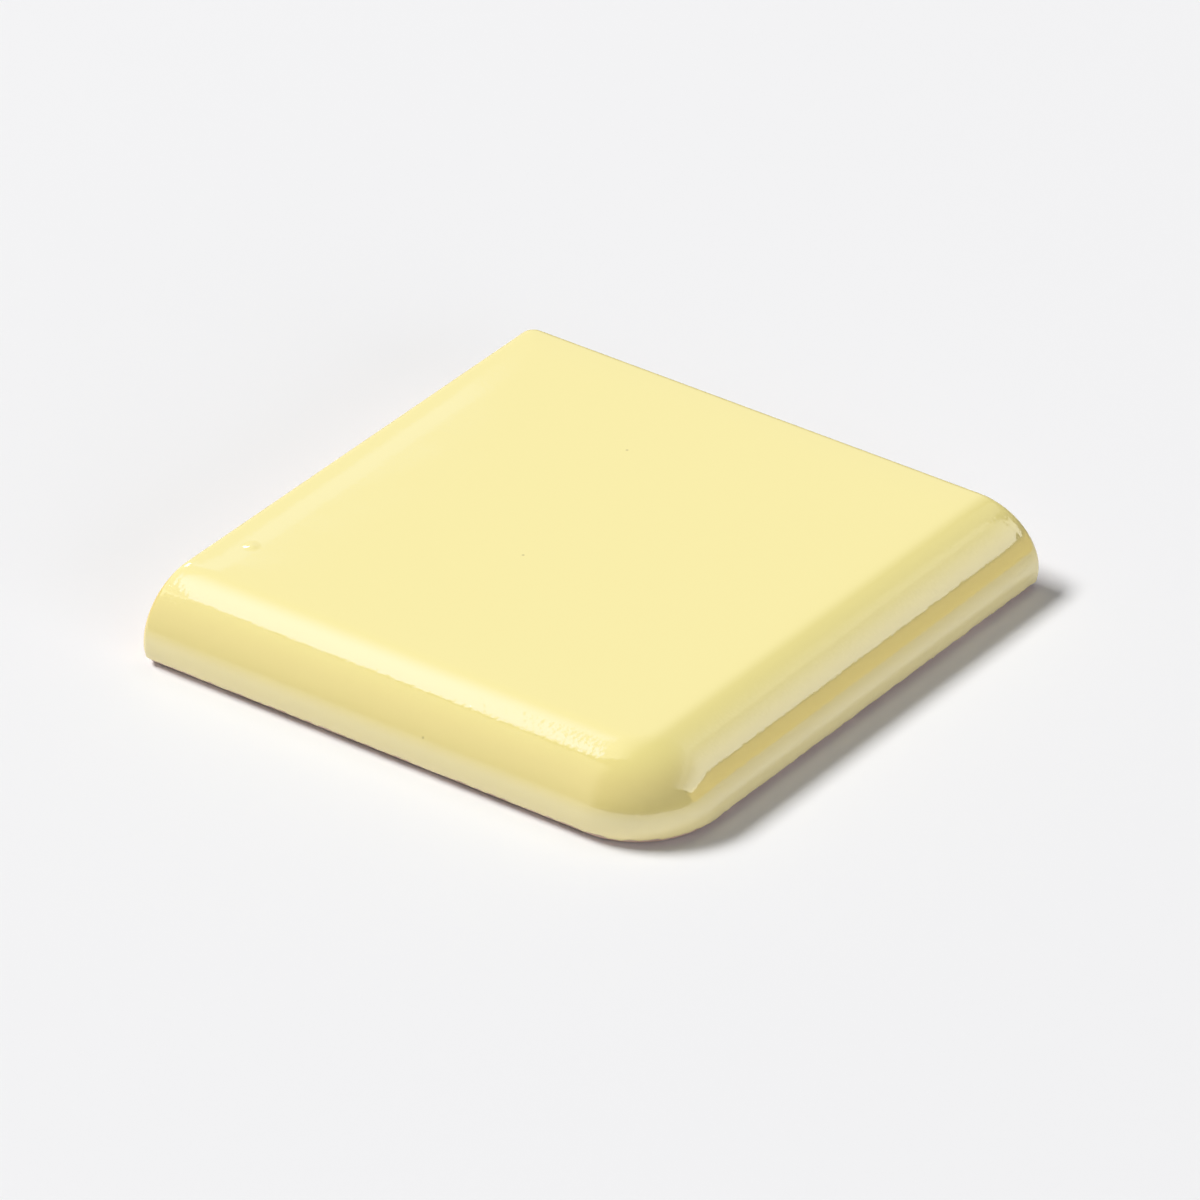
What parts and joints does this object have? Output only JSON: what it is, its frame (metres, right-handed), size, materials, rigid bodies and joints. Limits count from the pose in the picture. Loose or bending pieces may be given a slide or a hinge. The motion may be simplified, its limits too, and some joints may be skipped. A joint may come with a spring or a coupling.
{
  "type": "double bullnose tile",
  "caption": "Square glazed ceramic wall tile with two neighbouring edges rounded over and meeting in a rounded corner, for finishing an outer corner of tiling.",
  "frame": {"origin": "centre of the outline of the back, at the plane that the tile rests on", "axes": "+Z out of the glazed face; the rounded edges face -Y and +X, the plain joint faces -X and +Y"},
  "size_m": [0.0984, 0.0984, 0.0132],
  "materials": {
    "glaze": "gloss butter yellow glaze over a buff fired body, bare on the back"
  },
  "bodies": {
    "root": {"bullnose_tile": "glaze"}
  },
  "joints": []
}
